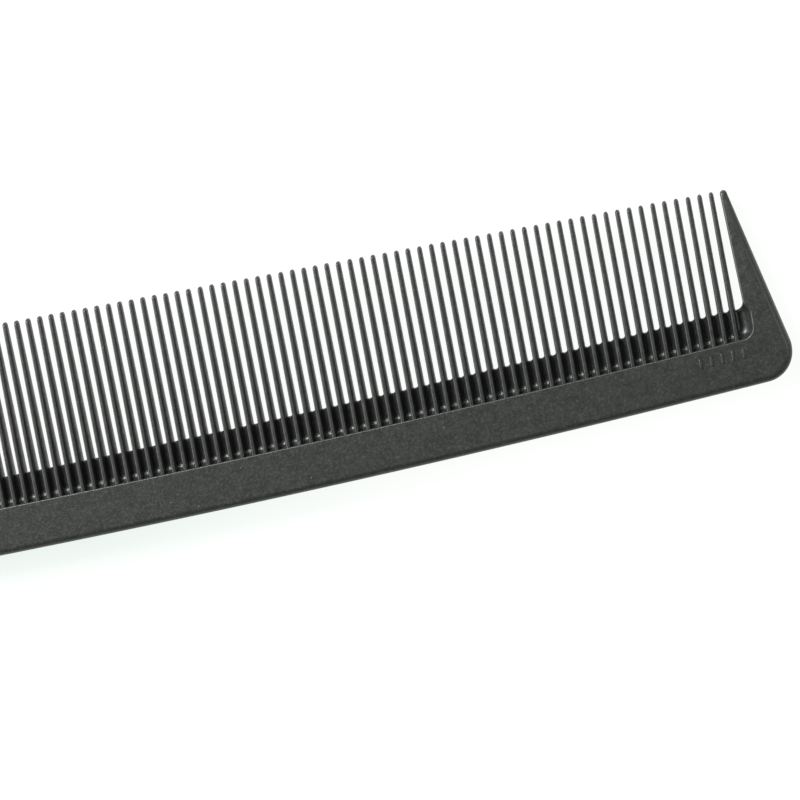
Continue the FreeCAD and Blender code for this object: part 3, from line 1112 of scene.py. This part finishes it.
def make_floor():
    """Round table with a low wall that curves up from its edge."""
    z = cad_low.z - TABLE_BELOW * MM
    profile = [(TABLE_MIDDLE, 0.0), (TABLE_RADIUS, 0.0)]
    for degrees in range(10, 91, 10):
        angle = math.radians(degrees)
        profile.append((TABLE_RADIUS + WALL_CURVE * math.sin(angle),
                        WALL_CURVE - WALL_CURVE * math.cos(angle)))
    profile.append((TABLE_RADIUS + WALL_CURVE, WALL_TOP))
    sides = 96
    points = [(0.0, 0.0, z)]
    for radius, height in profile:
        points += [(radius * math.cos(math.tau * k / sides), radius * math.sin(math.tau * k / sides),
                    z + height) for k in range(sides)]
    faces = [(0, 1 + k, 1 + (k + 1) % sides) for k in range(sides)]
    for ring in range(len(profile) - 1):
        inner = 1 + ring * sides
        outer = inner + sides
        faces += [(inner + k, outer + k, outer + (k + 1) % sides, inner + (k + 1) % sides)
                  for k in range(sides)]
    mesh = bpy.data.meshes.new("floor")
    mesh.from_pydata(points, [], faces)
    mesh.shade_smooth()
    floor = bpy.data.objects.new("floor", mesh)
    bpy.context.scene.collection.objects.link(floor)
    mesh.materials.append(floor_material())


def soft_box(name, azimuth, elevation, size, power):
    """Square soft light at a set distance from the blade, in a direction given in degrees:
    azimuth from the toe's direction round by the tooth tips', elevation above the floor."""
    lamp = bpy.data.lights.new(name, "AREA")
    lamp.shape = "SQUARE"
    lamp.size = size
    lamp.energy = power
    holder = bpy.data.objects.new(name, lamp)
    bpy.context.scene.collection.objects.link(holder)
    turn, lift = math.radians(azimuth), math.radians(elevation)
    away = Vector((math.cos(lift) * math.cos(turn), math.cos(lift) * math.sin(turn), math.sin(lift)))
    holder.location = Vector(place(*LIGHT_AIM)) + away * LIGHT_DISTANCE
    holder.rotation_mode = "QUATERNION"
    holder.rotation_quaternion = (-away).to_track_quat("-Z", "Y")
    holder.visible_camera = False


make_floor()
for name, azimuth, elevation, size, power in (
        ("key", 122.0, 42.0, 0.22, 12.5), ("key_left", 150.0, 45.0, 0.45, 5.2),
        ("side", 180.0, 28.0, 0.40, 5.2), ("right", 0.0, 45.0, 0.45, 1.8),
        ("far", 90.0, 45.0, 0.40, 0.9), ("high", 135.0, 60.0, 0.40, 0.9)):
    soft_box(name, azimuth, elevation, size, power)

world = bpy.data.worlds.new("studio")
bpy.context.scene.world = world
world.use_nodes = True
background = world.node_tree.nodes["Background"]
background.inputs["Color"].default_value = (0.9, 0.92, 0.92, 1)
background.inputs["Strength"].default_value = 0.02

camera_data = bpy.data.cameras.new("camera")
camera_data.sensor_width = SENSOR_WIDTH
camera_data.lens = LENS
camera_data.clip_start = CLIP_START
camera_data.clip_end = CLIP_END
camera = bpy.data.objects.new("camera", camera_data)
bpy.context.scene.collection.objects.link(camera)
camera.location = place(*CAMERA_AT)
backward = (Vector(place(*CAMERA_AT)) - Vector(place(*CAMERA_AIM))).normalized()
right = Vector((0.0, 1.0, 0.0)).cross(backward).normalized()
up = backward.cross(right)
level = Matrix((right, up, backward)).transposed()
camera.rotation_mode = "QUATERNION"
camera.rotation_quaternion = (level @ Matrix.Rotation(CAMERA_ROLL, 3, "Z")).to_quaternion()
bpy.context.scene.camera = camera

bpy.context.scene.view_settings.view_transform = "Standard"
